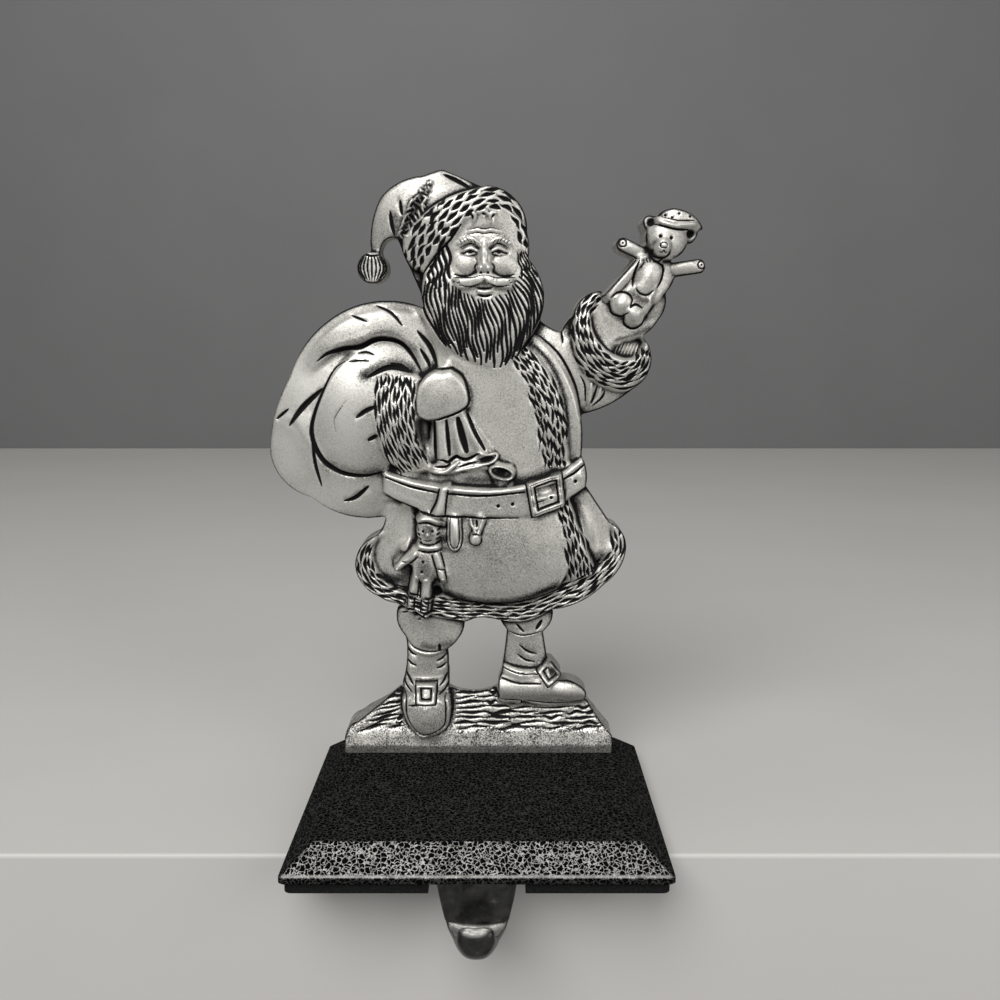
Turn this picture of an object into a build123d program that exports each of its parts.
from build123d import *
import os

# Base casting, a bevelled plate with a thin lip round its foot
base_width = 102.0
base_depth = 86.0
base_corner_radius = 1.5
lip_height = 2.0
bevel_height = 6.0
bevel_inset = 7.75

# Foam pad between the base and the mantel
pad_thickness = 3.0
pad_inset = 1.2
pad_corner_radius = 2.0
pad_notch_clearance = 1.5

# Stocking hook, a rounded tongue that curls forward and up, cast with the base
hook_root_width = 22.0
hook_tip_width = 12.5
hook_tongue_thickness = 4.0
hook_throat = 6.5
hook_tip_thickness = 5.0
hook_bottom = -14.0
hook_floor_thickness = 4.0
hook_tip_top = -5.0

# Figure casting: a relief with a flat back, drawn in front view and scaled to its height
figure_height = 177.5
figure_back_inset = 8.0
plinth_depth = 13.0
plinth_band_height = 2.0
mound_top_depth = 7.0
crown_allowance = 1.0
limb_corner_cut = 0.29
leg_relief_depth = 5.0
leg_relief_height = 42.0

# The sheet that the figure is drawn on: the level of its foot and of the top of its hat
sheet_foot = 11.0
sheet_top = 188.7

# Screws that hold the figure to the base from below
screw_diameter = 4.0
screw_length = 14.0
screw_head_diameter = 8.0
screw_head_height = 3.0
screw_socket_size = 3.0
screw_socket_depth = 1.6
screw_spacing = 50.0
screw_clearance = 0.25
thread_clearance = 0.05
screw_head_recess = 0.5
screw_hole_spare = 1.0

base_foot = pad_thickness
base_top = base_foot + lip_height + bevel_height
base_front = -base_depth / 2
figure_back = base_depth / 2 - figure_back_inset
sheet_scale = figure_height / (sheet_top - sheet_foot)
figure_plane = Plane((0, figure_back, base_top), x_dir=(1, 0, 0), z_dir=(0, -1, 0))
screw_y = figure_back - plinth_depth / 2
screw_seat = base_foot + screw_head_recess + screw_head_height
screw_hole_depth = screw_length - (base_top - screw_seat) + screw_hole_spare
leg_relief_foot = base_top + screw_hole_depth + screw_hole_spare
leg_relief_top = leg_relief_foot + leg_relief_height


def on_sheet(points):
    """Points of the drawing at the figure's own size, measured from its foot."""
    return [(x * sheet_scale, (z - sheet_foot) * sheet_scale) for x, z in points]


def trace(runs):
    """The lines of a closed outline. Each run is a line, or arcs through every second point.

    Runs start where the one before ended. A run that stands alone closes on its first point.
    """
    for run in runs:
        points = on_sheet(run)
        if len(runs) == 1:
            points.append(points[0])
        if len(points) == 2:
            Line(*points)
        for first, middle, last in zip(points[:-2:2], points[1:-1:2], points[2::2]):
            ThreePointArc(first, middle, last)


def round_off(outline, rim, top, lean):
    """Round the front of the open part, from top to rim: like a ball, or like a leaning barrel."""
    box = outline.sketch_local.bounding_box()
    reach = {None: max(box.size.X, box.size.Y), 0: box.size.X, 90: box.size.Y}[lean] / 2
    radius = (reach**2 + (top - rim) ** 2) / (2 * (top - rim))
    middle = (box.center().X, box.center().Y, top - radius)
    with Locations(Location(middle, (0, 0, lean or 0))):
        if lean is None:
            Sphere(radius, rotation=(90, 0, 0), mode=Mode.INTERSECT)
        else:
            Cylinder(radius, 4 * box.diagonal, rotation=(90, 0, 0), mode=Mode.INTERSECT)
    if top > radius:
        extrude(outline.sketch, amount=top - radius)


def raised(*runs, top, rim=None, lean=None):
    """A raised shape of the relief, flat in front or rounded off to a rim."""
    with BuildPart(figure_plane) as piece:
        with BuildSketch(figure_plane) as outline:
            with BuildLine():
                trace(runs)
            make_face()
        extrude(amount=top + crown_allowance if rim else top)
        if rim:
            round_off(outline, rim, top, lean)
    return piece.part


def knob(center, width, top, rim=None, lean=None):
    """A round raised shape, flat in front or rounded off to a rim."""
    with BuildPart(figure_plane) as piece:
        with BuildSketch(figure_plane) as outline:
            with Locations(*on_sheet([center])):
                Circle(width / 2 * sheet_scale)
        extrude(amount=top + crown_allowance if rim else top)
        if rim:
            round_off(outline, rim, top, lean)
    return piece.part


def limb(start, end, width, top):
    """A straight limb, flat in front, that reaches past both points with its corners cut off."""
    first, last = [Vector(*point) for point in on_sheet([start, end])]
    lean = Vector(0, 1, 0).get_signed_angle(last - first, Vector(0, 0, 1))
    size = width * sheet_scale
    with BuildPart(figure_plane) as piece:
        with BuildSketch(figure_plane) as outline:
            with Locations(Location((first + last) * 0.5, (0, 0, lean))):
                Rectangle(size, (last - first).length + size)
            chamfer(outline.vertices(), limb_corner_cut * size)
        extrude(amount=top)
    return piece.part


def buckle(frame, window, top):
    """A flat buckle frame round an open window."""
    with BuildPart(figure_plane) as piece:
        with BuildSketch(figure_plane):
            with BuildLine():
                Polyline(*on_sheet(frame), close=True)
            make_face()
            with BuildLine():
                Polyline(*on_sheet(window), close=True)
            make_face(mode=Mode.SUBTRACT)
        extrude(amount=top)
    return piece.part


# Legs and boots
left_trouser = raised(
    [(-26, 57), (-26.4, 52.5), (-23.8, 48), (-20, 44.5), (-15.5, 42.6), (-11, 43.6), (-7, 47),
     (-5.2, 51), (-6, 56), (-16, 59)],
    top=10.5, rim=7.5, lean=0)
left_boot_shaft = raised(
    [(-23.6, 48), (-23.3, 41), (-25, 32)],
    [(-25, 32), (-10, 32)],
    [(-10, 32), (-10.2, 39), (-10.6, 46)],
    [(-10.6, 46), (-23.6, 48)],
    top=10, rim=7, lean=0)
left_boot_welt = raised(
    [(-24.7, 28.6), (-24.4, 24.5), (-22.5, 20), (-16.5, 16.4), (-11.4, 18.5), (-9.6, 23.8),
     (-9.9, 28.6), (-17, 30.5)],
    top=12.8)
left_boot_toe = raised(
    [(-23.5, 27.5), (-22.9, 22.3), (-19.5, 18.1), (-15.5, 17.2), (-12, 19.2), (-10.3, 24), (-11, 28),
     (-17, 29.6)],
    top=15, rim=13, lean=0)
left_boot_strap = raised(
    [(-24.6, 33.8), (-10, 33.8)],
    [(-10, 33.8), (-10.2, 28.6)],
    [(-10.2, 28.6), (-17, 27.6), (-24, 28.6)],
    [(-24, 28.6), (-24.6, 33.8)],
    top=12.4, rim=9, lean=0)
left_boot_buckle = buckle(
    [(-20.4, 27.9), (-14.2, 27.9), (-14.2, 33.9), (-20.4, 33.9)],
    [(-19.2, 29), (-15.4, 29), (-15.4, 32.2), (-19.2, 32.2)],
    top=13.6)
right_trouser = raised(
    [(5.5, 55), (7.2, 51), (11, 48.7), (16, 48.3), (20.5, 50.2), (22.5, 54), (22, 57.5), (14, 59)],
    top=10, rim=7.5, lean=0)
right_boot_shaft = raised(
    [(8.2, 50), (7.3, 42), (6, 34)],
    [(6, 34), (22, 34)],
    [(22, 34), (20.6, 41.8), (19.3, 50)],
    [(19.3, 50), (8.2, 50)],
    top=9.5, rim=7, lean=0)
right_boot_foot = raised(
    [(6, 36), (5.3, 32), (6.3, 28.2)],
    [(6.3, 28.2), (19, 26.8), (31.5, 27.2)],
    [(31.5, 27.2), (33, 29.6), (32, 32.2), (29, 34.1), (25, 34.6)],
    [(25, 34.6), (6, 36)],
    top=13, rim=7, lean=90)
right_boot_sole = raised(
    [(6, 29), (6, 26.6)],
    [(6, 26.6), (12.4, 26.2)],
    [(12.4, 26.2), (12.9, 27.3)],
    [(12.9, 27.3), (24, 25.7), (33, 28.8)],
    [(33, 28.8), (6, 29)],
    top=11)
right_boot_strap = raised(
    [(6.8, 38.9), (12, 37.7), (19.5, 37.4)],
    [(19.5, 37.4), (19.5, 33.9)],
    [(19.5, 33.9), (6, 34.6)],
    [(6, 34.6), (6.8, 38.9)],
    top=12.4, rim=9, lean=0)
right_boot_buckle = buckle(
    [(21.8, 41.3), (25.3, 37), (21, 32.8), (17.5, 37.3)],
    [(21.7, 39.4), (23.4, 37.1), (21.1, 34.7), (19.2, 37.3)],
    top=13.6)

# Coat, tunic and belt
coat_body = raised(
    [(-29, 91), (-26, 112), (-12, 140)],
    [(-12, 140), (16, 141)],
    [(16, 141), (26.6, 127.8), (30, 102)],
    [(30, 102), (31.5, 95)],
    [(31.5, 95), (-29, 91)],
    top=9.5)
coat_skirt = raised(
    [(-29.5, 94), (-29, 86.5), (-31.5, 80.5)],
    [(-31.5, 80.5), (-36, 75.5), (-35, 67), (-24, 60.3), (-8, 57.8), (6, 57.5), (22, 60), (34, 64.5),
     (42, 74), (42.5, 79), (40.5, 83)],
    [(40.5, 83), (31.8, 96)],
    [(31.8, 96), (-29.5, 94)],
    top=10.5, rim=7, lean=0)
hem = raised(
    [(-30.5, 80.6), (-35.3, 78.4), (-38.2, 74.3), (-38.6, 68.5), (-35.8, 63.7), (-31, 60.5), (-25.5, 58.7)],
    [(-25.5, 58.7), (-15, 55.3), (-5, 53.4)],
    [(-5, 53.4), (1, 54.9), (7, 53.5)],
    [(7, 53.5), (14, 53.6), (22, 57.3)],
    [(22, 57.3), (31, 59.7), (38, 64.8), (43.8, 71.5), (45, 76.5), (43.6, 81), (40.3, 84)],
    [(40.3, 84), (40.3, 76.5), (35.5, 69.3)],
    [(35.5, 69.3), (30.5, 70), (26.8, 67.3)],
    [(26.8, 67.3), (20, 63.7), (6, 61.5), (-5, 61.6), (-15, 62)],
    [(-15, 62), (-23, 62.4), (-29, 66), (-33.2, 72), (-30.5, 80.6)],
    top=13.5, rim=9.5)
belly = raised(
    [(-12, 90), (-14, 75), (-12, 63.3)],
    [(-12, 63.3), (6, 60.3), (23.5, 64.6)],
    [(23.5, 64.6), (27.5, 72.5), (23.5, 90)],
    [(23.5, 90), (-12, 90)],
    top=18.5, rim=15)
chest = raised(
    [(-10, 140), (-14, 120), (-16, 96)],
    [(-16, 96), (21, 96)],
    [(21, 96), (19, 118.5), (11, 137)],
    [(11, 137), (-10, 140)],
    top=16, rim=13.5, lean=0)
upper_trim = raised(
    [(10.3, 135.5), (17.3, 121.5), (19.5, 100)],
    [(19.5, 100), (26.2, 101)],
    [(26.2, 101), (24.2, 122), (13.3, 138.8)],
    [(13.3, 138.8), (10.3, 135.5)],
    top=16, rim=13)
lower_trim = raised(
    [(23.5, 90), (27, 77.5), (26.8, 66)],
    [(26.8, 66), (35.8, 68.5)],
    [(35.8, 68.5), (31.4, 80.5), (26.6, 92.8)],
    [(26.6, 92.8), (23.5, 90)],
    top=15.5, rim=12.5)
lapel = raised(
    [(13.5, 139.5), (16, 141.6)],
    [(16, 141.6), (26.6, 127.8), (30, 102)],
    [(30, 102), (25, 101)],
    [(25, 101), (23, 122), (13.5, 139.5)],
    top=14, rim=11)
shoulder = raised(
    [(15.5, 141), (17.8, 145.5)],
    [(17.8, 145.5), (21, 143.2), (24, 141.9)],
    [(24, 141.9), (30.5, 131), (30, 116)],
    [(30, 116), (24.5, 130), (15.5, 141)],
    top=12, rim=9)
belt = raised(
    [(-29.3, 100.4), (-20, 98.3), (-8, 96.8), (4, 96.2), (14, 97.2), (23, 99.7), (30.6, 105)],
    [(30.6, 105), (32, 101), (31.8, 95.6)],
    [(31.8, 95.6), (22.5, 90.3), (12, 87.5), (0, 87.6), (-14, 88.4), (-21.5, 90.2), (-29.3, 93.9)],
    [(-29.3, 93.9), (-29.3, 100.4)],
    top=18.5, rim=13, lean=0)
belt_piping = raised(
    [(-28.8, 100.4), (-20, 98.3), (-8, 96.8), (4, 96.2), (14, 97.2), (23, 99.7), (30.6, 105)],
    [(30.6, 105), (31.5, 103)],
    [(31.5, 103), (23, 97.8), (14, 95.4), (4, 94.2), (-8, 94.8), (-20, 96.4), (-28.8, 99)],
    [(-28.8, 99), (-28.8, 100.4)],
    top=19.4, rim=13.6, lean=0)
belt_loop = raised(
    [(-8.6, 97.4), (-11.2, 97.2)],
    [(-11.2, 97.2), (-14.3, 88.2)],
    [(-14.3, 88.2), (-10.4, 87.8)],
    [(-10.4, 87.8), (-8.6, 97.4)],
    top=19.8)
belt_buckle = buckle(
    [(13.8, 97.8), (24.2, 101.1), (25.4, 90.6), (15.6, 87.2)],
    [(16.1, 96.6), (22.6, 98.9), (23.4, 92), (17.3, 89.6)],
    top=19.6)
buckle_tongue = limb((16.5, 92.6), (22, 94), width=1.5, top=18.8)

# Horn and strap tucked under the belt
horn_bell = limb((5.4, 101.3), (7.8, 100.7), width=5.2, top=18.6)
horn_pipe = limb((0.3, 87.4), (-1.4, 82), width=1.8, top=19.4)
horn_mouthpiece = limb((-1.3, 81.2), (-1.5, 80.6), width=3.2, top=20)
strap_loop = limb((-7.7, 86.4), (-7.8, 78.8), width=3.8, top=18.6)

# Sack over the shoulder and the arm that holds its neck
sack = raised(
    [(-9.5, 136), (-13, 143), (-17, 149.3)],
    [(-17, 149.3), (-28, 151.2), (-40, 148.3), (-50, 140.7), (-57, 128.6), (-62, 117.5), (-64.2, 105.5),
     (-61.2, 97.7), (-52, 91.9), (-40.5, 85.8), (-27.6, 86.2)],
    [(-27.6, 86.2), (-22, 110), (-9.5, 136)],
    top=14, rim=7)
sack_upper_fold = raised(
    [(-10, 131.8), (-12.5, 140), (-17, 147.5)],
    [(-17, 147.5), (-29, 149.8), (-41, 146.4), (-50, 138.5), (-57, 122)],
    [(-57, 122), (-50.5, 129.5), (-42, 137), (-37, 138.2), (-32, 139.7), (-24, 139.3), (-17.3, 130.5)],
    [(-17.3, 130.5), (-10, 131.8)],
    top=15.5, rim=9.5)
sack_lower_fold = raised(
    [(-57.5, 115), (-52, 121.3), (-46.5, 126.3)],
    [(-46.5, 126.3), (-44, 110), (-48, 96)],
    [(-48, 96), (-51, 104), (-57.5, 115)],
    top=13.5, rim=11)
left_sleeve = raised(
    [(-17, 130.5), (-21.5, 137), (-28, 139.3), (-36.5, 136.5), (-43.3, 130.3), (-48.2, 121), (-50.2, 112),
     (-47, 103), (-38, 99.4), (-32, 99.6), (-27, 103)],
    [(-27, 103), (-25, 117), (-17, 130.5)],
    top=17.5, rim=12)
left_cuff = raised(
    [(-31.5, 127.5), (-25, 130), (-17.2, 129)],
    [(-17.2, 129), (-18.8, 118), (-14.2, 101.2)],
    [(-14.2, 101.2), (-21.5, 100.3), (-28.3, 105.5)],
    [(-28.3, 105.5), (-31.2, 116), (-31.5, 127.5)],
    top=19, rim=14.5)
left_mitten = raised(
    [(-19, 121.5), (-16.8, 128.5), (-10, 131.7), (-5, 128.4), (-2.9, 120.6), (-7, 118.6), (-15.5, 115.9),
     (-18.3, 117.8)],
    top=20.4, rim=19)
sack_neck = raised(
    [(-13.8, 117.5), (-12.5, 104.2)],
    [(-12.5, 104.2), (-4, 106.2), (5.6, 104.8)],
    [(5.6, 104.8), (-5, 119.5)],
    [(-5, 119.5), (-13.8, 117.5)],
    top=17)
neck_flutes = [
    limb((-11.6, 117), (-10.6, 105.6), width=2.8, top=18.4),
    limb((-8.2, 118), (-5.2, 106.8), width=2.8, top=18.4),
    limb((-6, 118.5), (1, 107), width=2.8, top=18.2),
]
neck_ruffle = raised(
    [(-16.4, 101.4), (-12, 103.6), (-6, 103.4), (0, 104.9), (5.6, 105.2), (3, 102.9), (-5, 101.2),
     (-11, 100.1)],
    top=17.2)

# Head
pompom = knob((-31.7, 160.6), width=9, top=11, rim=9.4, lean=0)
hat = raised(
    [(-32, 163), (-32.2, 171), (-28.8, 181), (-23.5, 184.9), (-16.5, 186.7)],
    [(-16.5, 186.7), (-10.9, sheet_top)],
    [(-10.9, sheet_top), (3, 183)],
    [(3, 183), (3, 172)],
    [(3, 172), (-22, 164)],
    [(-22, 164), (-25.3, 169.3), (-28.5, 163)],
    [(-28.5, 163), (-32, 163)],
    top=13, rim=8)
hair = raised(
    [(-24, 168.8), (-20, 159.2), (-16.8, 152)],
    [(-16.8, 152), (12, 152)],
    [(12, 152), (12, 170)],
    [(12, 170), (-24, 168.8)],
    top=10)
hat_brim = raised(
    [(-22.4, 165.2), (-22.3, 168.6)],
    [(-22.3, 168.6), (-13, 177.8), (-2, 182.6)],
    [(-2, 182.6), (8.2, 181.7), (13.7, 173), (13.6, 168.5), (11.8, 164.6)],
    [(11.8, 164.6), (10, 172), (4, 176.2), (-1.5, 175.2), (-6, 170.8)],
    [(-6, 170.8), (-17, 159.6)],
    [(-17, 159.6), (-20.5, 161.5), (-22.4, 165.2)],
    top=18.5, rim=14)
face = knob((1.5, 166), width=26, top=17.5, rim=15, lean=0)
beard = raised(
    [(-14, 164.5), (-16.6, 157), (-16.7, 150.5), (-13.5, 142.8), (-6, 135.6), (-0.5, 133), (4.5, 131.6)],
    [(4.5, 131.6), (9, 133.6), (13, 138.8), (17.2, 144.6), (18.9, 152), (17, 159), (11.8, 165.3)],
    [(11.8, 165.3), (10, 159.5), (1.5, 155.8), (-7, 159.5), (-10.2, 164.6)],
    [(-10.2, 164.6), (-14, 164.5)],
    top=19, rim=16)
nose = limb((1.5, 164), (1.5, 160), width=4, top=19.4)
moustache = [limb((1.5 + side * 1.6, 157.2), (1.5 + side * 7, 155.6), width=3, top=20.2)
             for side in (-1, 1)]

# Raised arm with its open cuff and mitten
raised_sleeve = raised(
    [(24, 141.8), (27.5, 146.8), (33, 150)],
    [(33, 150), (46, 125.2)],
    [(46, 125.2), (38.5, 120.1), (30, 117.2)],
    [(30, 117.2), (27.5, 130), (24, 141.8)],
    top=12, rim=8)
raised_cuff = raised(
    [(36.6, 153.9), (31.2, 152.6), (27.6, 146.5), (27.5, 139), (31.5, 130), (36, 126.2), (42, 124.4),
     (48.6, 127.6), (50.8, 133), (50.3, 137), (48.2, 140.5)],
    [(48.2, 140.5), (47, 135.8), (42, 134.6), (36.4, 137.6), (32.8, 144), (33.2, 149), (36.6, 153.9)],
    top=16.5, rim=12)
cuff_lining = raised(
    [(37, 153), (32, 147), (34, 139), (40, 134.4), (46, 134), (48.6, 137.5), (48.2, 141), (45, 149)],
    top=10)
raised_mitten = raised(
    [(36.4, 151), (33.3, 146), (35.2, 140), (38.3, 137.9), (42.5, 139.2), (48.5, 141.2), (53, 145.9),
     (55, 151),
     (53.4, 155.3), (44, 155)],
    top=13.5, rim=11, lean=0)
mitten_thumb = limb((38.6, 152.6), (46.9, 162), width=3.4, top=14.2)

# Toy bear in the raised hand
bear_body = raised(
    [(45.4, 161), (50.5, 163.6), (56.6, 161.5), (57, 157.5), (53.5, 153), (48, 149.6), (43.8, 152.5),
     (44, 157)],
    top=14.2, rim=12, lean=0)
bear_belly = limb((50.2, 159.2), (48.5, 154.3), width=5.4, top=15.6)
bear_legs = [
    limb((44.8, 153.2), (41, 149.5), width=5.4, top=16),
    limb((47.6, 150.6), (45.2, 146.6), width=5.2, top=16.6),
]
bear_arms = [
    limb((48, 164.2), (41.9, 167.2), width=4, top=12.2),
    limb((57, 160), (64, 161), width=4.2, top=12.2),
]
bear_ears = [
    limb((49.5, 172.9), (49.3, 173.5), width=3.8, top=13),
    limb((60.7, 169.6), (61.1, 170.2), width=4.4, top=13),
]
bear_head = raised(
    [(48.6, 171.5), (48.3, 167), (51.5, 163.5), (55.5, 162.9), (59.3, 165.5), (60.1, 169), (58.5, 172),
     (53.5, 173.2)],
    top=16.6, rim=14.8, lean=0)
bear_muzzle = limb((52.6, 166.2), (52.2, 165.6), width=4.2, top=18.6)
bear_cap = raised(
    [(50.4, 174), (52.8, 176.4), (57, 177), (61.5, 175.2), (65.2, 171.4), (63, 171), (57, 171.7),
     (52.5, 172.6)],
    top=15.6, rim=13.4)
bear_cap_brim = raised(
    [(50.4, 174), (57, 171.7), (62.8, 172.8)],
    [(62.8, 172.8), (57, 173.6), (51, 175)],
    [(51, 175), (50.4, 174)],
    top=17.4)

# Jointed wooden doll hanging from the belt
doll_head = knob((-15.6, 82.6), width=7.4, top=18.2)
doll_cap = raised(
    [(-19.8, 85.4), (-15.6, 88.6), (-11.4, 85.4)],
    [(-11.4, 85.4), (-19.8, 85.4)],
    top=19)
doll_collar = limb((-18.2, 78.4), (-13, 78.4), width=2.2, top=17.8)
doll_body = limb((-17.2, 74.4), (-17.2, 70.8), width=7, top=17.6)
doll_limbs = [
    limb((-20, 76.2), (-25, 71.8), width=3, top=16.4),
    limb((-13.4, 76.2), (-11.4, 69.2), width=2.8, top=17.4),
    limb((-19.2, 68.6), (-21.4, 58.8), width=3.2, top=16.2),
    limb((-15.8, 68), (-17.4, 56.8), width=3.2, top=17.2),
]

# Mound under the boots, sloping back from a plinth
with BuildPart(figure_plane) as mound:
    with BuildSketch(figure_plane) as mound_outline:
        with BuildLine():
            trace([
                [(-43, sheet_foot), (41.3, sheet_foot)],
                [(41.3, sheet_foot), (41.5, 16)],
                [(41.5, 16), (38.4, 19.6), (33.4, 27)],
                [(33.4, 27), (20, 30), (5, 30.9)],
                [(5, 30.9), (-2, 29.1), (-10, 30.9)],
                [(-10, 30.9), (-25.4, 30.9)],
                [(-25.4, 30.9), (-32.4, 25.3), (-38.9, 20.4)],
                [(-38.9, 20.4), (-42, 18.4), (-43, 15.6)],
                [(-43, 15.6), (-43, sheet_foot)],
            ])
        make_face()
    extrude(amount=plinth_depth)
    mound_box = mound_outline.sketch_local.bounding_box()
    with BuildSketch(Plane.YZ.offset(mound_box.min.X - 1)):
        with BuildLine():
            Polyline(
                (figure_back, base_top),
                (figure_back - plinth_depth, base_top),
                (figure_back - plinth_depth, base_top + plinth_band_height),
                (figure_back - mound_top_depth, base_top + mound_box.max.Y),
                (figure_back, base_top + mound_box.max.Y),
                close=True)
        make_face()
    extrude(amount=mound_box.size.X + 2, mode=Mode.INTERSECT)

with BuildPart() as figure:
    add(mound.part)
    add([left_trouser, left_boot_shaft, left_boot_welt, left_boot_toe, left_boot_strap, left_boot_buckle])
    add([right_trouser, right_boot_shaft, right_boot_foot, right_boot_sole])
    add([right_boot_strap, right_boot_buckle])
    add([coat_body, coat_skirt, hem, belly, chest, upper_trim, lower_trim, lapel, shoulder])
    add([belt, belt_piping, belt_loop, belt_buckle, buckle_tongue])
    add([horn_bell, horn_pipe, horn_mouthpiece, strap_loop])
    add([sack, sack_upper_fold, sack_lower_fold, left_sleeve, left_cuff, left_mitten])
    add([sack_neck, *neck_flutes, neck_ruffle])
    add([pompom, hat, hair, hat_brim, face, beard, nose, *moustache])
    add([raised_sleeve, raised_cuff, cuff_lining, raised_mitten, mitten_thumb])
    add([bear_body, bear_belly, *bear_legs, *bear_arms, *bear_ears, bear_head, bear_muzzle])
    add([bear_cap, bear_cap_brim])
    add([doll_head, doll_cap, doll_collar, doll_body, *doll_limbs])
    with BuildSketch(Plane((0, screw_y, base_top))):
        with GridLocations(screw_spacing, 0, 2, 1):
            Circle(screw_diameter / 2 + thread_clearance)
    extrude(amount=screw_hole_depth, mode=Mode.SUBTRACT)
    with BuildSketch(Plane.YZ):
        with BuildLine():
            Polyline(
                (figure_back, leg_relief_foot),
                (figure_back - leg_relief_depth, leg_relief_foot + leg_relief_depth),
                (figure_back - leg_relief_depth, leg_relief_top - leg_relief_depth),
                (figure_back, leg_relief_top),
                close=True)
        make_face()
    extrude(amount=base_width / 2, both=True, mode=Mode.SUBTRACT)

# Hook: a side profile, inside a half-oval tongue that ends in a ball in front
tongue_back = base_front + hook_tongue_thickness
tip_back = base_front - hook_throat
tip_front = tip_back - hook_tip_thickness
hook_root_top = base_foot + lip_height
bend_radius = (tongue_back - tip_front) / 2
bend_level = hook_bottom + bend_radius
throat_level = hook_bottom + hook_floor_thickness + hook_throat / 2
ball_radius = hook_tip_width / 2
ball_y = tip_front + ball_radius

with BuildPart() as tongue:
    with BuildSketch(Plane.XZ.offset(-tongue_back)):
        with Locations((0, hook_root_top)):
            Ellipse(hook_root_width / 2, hook_root_top - hook_bottom)
    extrude(amount=tongue_back - ball_y)
    with Locations((0, ball_y, hook_bottom + ball_radius)):
        Sphere(ball_radius)

with BuildPart() as hook:
    with BuildSketch(Plane.YZ):
        with BuildLine():
            Line((base_front, hook_root_top), (tongue_back, hook_root_top))
            Line((tongue_back, hook_root_top), (tongue_back, bend_level))
            ThreePointArc(
                (tongue_back, bend_level),
                (tongue_back - bend_radius, hook_bottom),
                (tip_front, bend_level))
            ThreePointArc(
                (tip_front, bend_level),
                (tip_front + hook_tip_thickness / 2, hook_tip_top),
                (tip_back, throat_level))
            ThreePointArc(
                (tip_back, throat_level),
                (tip_back + hook_throat / 2, hook_bottom + hook_floor_thickness),
                (base_front, throat_level))
            Line((base_front, throat_level), (base_front, hook_root_top))
        make_face()
    extrude(amount=hook_root_width / 2, both=True)
    add(tongue.part, mode=Mode.INTERSECT)

# Base, with the hook cast on and counterbored holes for the screws
with BuildPart() as base:
    with BuildSketch(Plane.XY.offset(base_foot)):
        RectangleRounded(base_width, base_depth, base_corner_radius)
    extrude(amount=lip_height)
    with BuildSketch(Plane.XY.offset(base_foot + lip_height)):
        RectangleRounded(base_width, base_depth, base_corner_radius)
    with BuildSketch(Plane.XY.offset(base_top)):
        RectangleRounded(base_width - 2 * bevel_inset, base_depth - 2 * bevel_inset, base_corner_radius)
    loft()
    add(hook.part)
    with BuildSketch(Plane((0, screw_y, base_foot))):
        with GridLocations(screw_spacing, 0, 2, 1):
            Circle(screw_diameter / 2 + screw_clearance)
    extrude(amount=base_top - base_foot, mode=Mode.SUBTRACT)
    with BuildSketch(Plane((0, screw_y, base_foot))):
        with GridLocations(screw_spacing, 0, 2, 1):
            Circle(screw_head_diameter / 2 + screw_clearance)
    extrude(amount=screw_seat - base_foot, mode=Mode.SUBTRACT)

# Socket screws
with BuildPart() as fixing_screws:
    with BuildSketch(Plane((0, screw_y, screw_seat))):
        with GridLocations(screw_spacing, 0, 2, 1):
            Circle(screw_diameter / 2)
    extrude(amount=screw_length)
    with BuildSketch(Plane((0, screw_y, screw_seat))):
        with GridLocations(screw_spacing, 0, 2, 1):
            Circle(screw_head_diameter / 2)
    extrude(amount=-screw_head_height)
    with BuildSketch(Plane((0, screw_y, screw_seat - screw_head_height))):
        with GridLocations(screw_spacing, 0, 2, 1):
            RegularPolygon(screw_socket_size / 2, 6, major_radius=False)
    extrude(amount=screw_socket_depth, mode=Mode.SUBTRACT)

# Foam pad, notched at the front to clear the hook
with BuildPart() as foot_pad:
    with BuildSketch():
        RectangleRounded(base_width - 2 * pad_inset, base_depth - 2 * pad_inset, pad_corner_radius)
        with Locations((0, base_front)):
            Rectangle(
                hook_root_width + 2 * pad_notch_clearance,
                2 * (hook_tongue_thickness + pad_notch_clearance),
                mode=Mode.SUBTRACT)
    extrude(amount=pad_thickness)

os.makedirs("parts", exist_ok=True)
base.part.label = "base"
export_step(base.part, "parts/base.step")
figure.part.label = "figure"
export_step(figure.part, "parts/figure.step")
foot_pad.part.label = "foot_pad"
export_step(foot_pad.part, "parts/foot_pad.step")
fixing_screws.part.label = "fixing_screws"
export_step(fixing_screws.part, "parts/fixing_screws.step")
